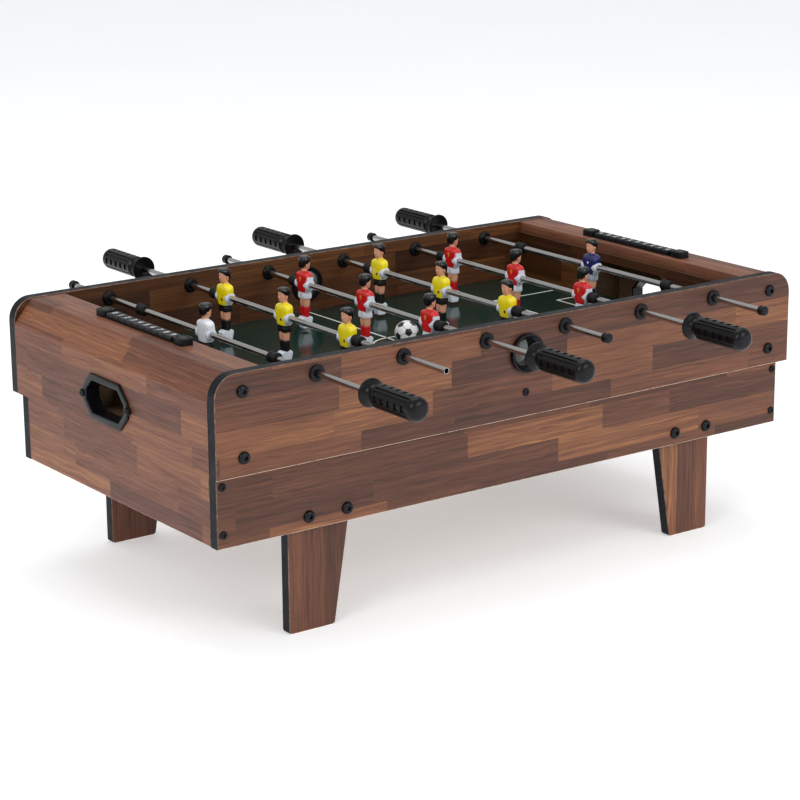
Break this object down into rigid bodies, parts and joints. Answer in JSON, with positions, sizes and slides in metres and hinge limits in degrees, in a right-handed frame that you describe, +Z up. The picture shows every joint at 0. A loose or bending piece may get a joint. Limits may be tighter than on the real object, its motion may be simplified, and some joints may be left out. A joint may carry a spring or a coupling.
{
  "type": "tabletop foosball table",
  "caption": "Tabletop football game: walnut-pattern box on short legs with sliding, spinning rods, moulded players, score counters and a ball.",
  "frame": {"origin": "under the middle of the table, on the surface that its legs stand on", "axes": "+X towards the goal kept by the navy goalkeeper, along the long sides; +Y towards the back long side, along the rods; +Z up"},
  "size_m": [0.695, 0.692, 0.2778],
  "materials": {
    "walnut_board": "satin walnut-pattern laminate on fibreboard, black edge banding",
    "field_green": "glossy printed dark green sheet on fibreboard with white lines",
    "pine_batten": "sawn pine",
    "plain_fibreboard": "plain fibreboard",
    "black_plastic": "moulded, slightly satin",
    "grip_plastic": "moulded, satin",
    "bumper_rubber": "matt",
    "black_steel": "black oxide",
    "chromed_tube": "polished chrome plating on steel tube",
    "bead_plastic": "moulded black, white numerals",
    "ball_white": "white ball with black five-sided patches",
    "white_player": "painted moulded plastic",
    "yellow_player": "painted moulded plastic",
    "red_player": "painted moulded plastic",
    "navy_player": "painted moulded plastic"
  },
  "bodies": {
    "cabinet": {"side_panel_front": "walnut_board", "side_panel_back": "walnut_board", "lower_side_front": "walnut_board", "lower_side_back": "walnut_board", "end_board_left": "walnut_board", "end_board_right": "walnut_board", "lower_ends": "walnut_board", "goal_walls": "walnut_board", "legs_front": "walnut_board", "legs_back": "walnut_board", "playing_field": "field_green", "field_battens": "pine_batten", "corner_blocks": "pine_batten", "ball_trays": "plain_fibreboard", "return_rings": "black_plastic", "serve_cups": "black_plastic", "rod_bushes": "black_plastic", "score_rails": "black_plastic", "frame_bolts": "black_steel", "small_screws": "black_steel"},
    "beads_left": {"score_beads_left": "bead_plastic"},
    "beads_right": {"score_beads_right": "bead_plastic"},
    "ball": {"ball": "ball_white"},
    "bumpers_1": {"rod_1_bumpers": "bumper_rubber"},
    "rod_1": {"rod_1_tube": "chromed_tube", "rod_1_handle": "grip_plastic", "rod_1_cap": "black_plastic", "white_player_1_1": "white_player"},
    "bumpers_2": {"rod_2_bumpers": "bumper_rubber"},
    "rod_2": {"rod_2_tube": "chromed_tube", "rod_2_handle": "grip_plastic", "yellow_player_2_1": "yellow_player", "yellow_player_2_2": "yellow_player", "yellow_player_2_3": "yellow_player"},
    "bumpers_3": {"rod_3_bumpers": "bumper_rubber"},
    "rod_3": {"rod_3_tube": "chromed_tube", "rod_3_handle": "grip_plastic", "rod_3_cap": "black_plastic", "red_player_3_1": "red_player", "red_player_3_2": "red_player", "red_player_3_3": "red_player"},
    "bumpers_4": {"rod_4_bumpers": "bumper_rubber"},
    "rod_4": {"rod_4_tube": "chromed_tube", "rod_4_handle": "grip_plastic", "rod_4_cap": "black_plastic", "yellow_player_4_1": "yellow_player", "yellow_player_4_2": "yellow_player", "yellow_player_4_3": "yellow_player"},
    "bumpers_5": {"rod_5_bumpers": "bumper_rubber"},
    "rod_5": {"rod_5_tube": "chromed_tube", "rod_5_handle": "grip_plastic", "rod_5_cap": "black_plastic", "red_player_5_1": "red_player", "red_player_5_2": "red_player", "red_player_5_3": "red_player"},
    "bumpers_6": {"rod_6_bumpers": "bumper_rubber"},
    "rod_6": {"rod_6_tube": "chromed_tube", "rod_6_handle": "grip_plastic", "rod_6_cap": "black_plastic", "navy_player_6_1": "navy_player"}
  },
  "joints": [
    {"name": "rod_1_slide", "type": "slide", "parent": "cabinet", "child": "bumpers_1", "axis": [0, 1, 0], "range_m": [-0.0454, 0.0554]},
    {"name": "rod_1_spin", "type": "hinge", "parent": "bumpers_1", "child": "rod_1", "pos_m": [-0.237, 0, 0.2488], "axis": [0, 1, 0], "continuous": true},
    {"name": "rod_2_slide", "type": "slide", "parent": "cabinet", "child": "bumpers_2", "axis": [0, 1, 0], "range_m": [-0.0486, 0.0386]},
    {"name": "rod_2_spin", "type": "hinge", "parent": "bumpers_2", "child": "rod_2", "pos_m": [-0.1422, 0, 0.2488], "axis": [0, 1, 0], "continuous": true},
    {"name": "rod_3_slide", "type": "slide", "parent": "cabinet", "child": "bumpers_3", "axis": [0, 1, 0], "range_m": [-0.0476, 0.0396]},
    {"name": "rod_3_spin", "type": "hinge", "parent": "bumpers_3", "child": "rod_3", "pos_m": [-0.0474, 0, 0.2488], "axis": [0, 1, 0], "continuous": true},
    {"name": "rod_4_slide", "type": "slide", "parent": "cabinet", "child": "bumpers_4", "axis": [0, 1, 0], "range_m": [-0.0486, 0.0386]},
    {"name": "rod_4_spin", "type": "hinge", "parent": "bumpers_4", "child": "rod_4", "pos_m": [0.0474, 0, 0.2488], "axis": [0, 1, 0], "continuous": true},
    {"name": "rod_5_slide", "type": "slide", "parent": "cabinet", "child": "bumpers_5", "axis": [0, 1, 0], "range_m": [-0.0476, 0.0396]},
    {"name": "rod_5_spin", "type": "hinge", "parent": "bumpers_5", "child": "rod_5", "pos_m": [0.1422, 0, 0.2488], "axis": [0, 1, 0], "continuous": true},
    {"name": "rod_6_slide", "type": "slide", "parent": "cabinet", "child": "bumpers_6", "axis": [0, 1, 0], "range_m": [-0.0454, 0.0554]},
    {"name": "rod_6_spin", "type": "hinge", "parent": "bumpers_6", "child": "rod_6", "pos_m": [0.237, 0, 0.2488], "axis": [0, 1, 0], "continuous": true},
    {"name": "ball_roll", "type": "slide", "parent": "cabinet", "child": "ball", "axis": [0, 1, 0], "range_m": [-0.16, 0.16]},
    {"name": "beads_left_slide", "type": "slide", "parent": "cabinet", "child": "beads_left", "axis": [0, 1, 0], "range_m": [-0.0042, 0.0042]},
    {"name": "beads_right_slide", "type": "slide", "parent": "cabinet", "child": "beads_right", "axis": [0, 1, 0], "range_m": [-0.0042, 0.0042]}
  ]
}
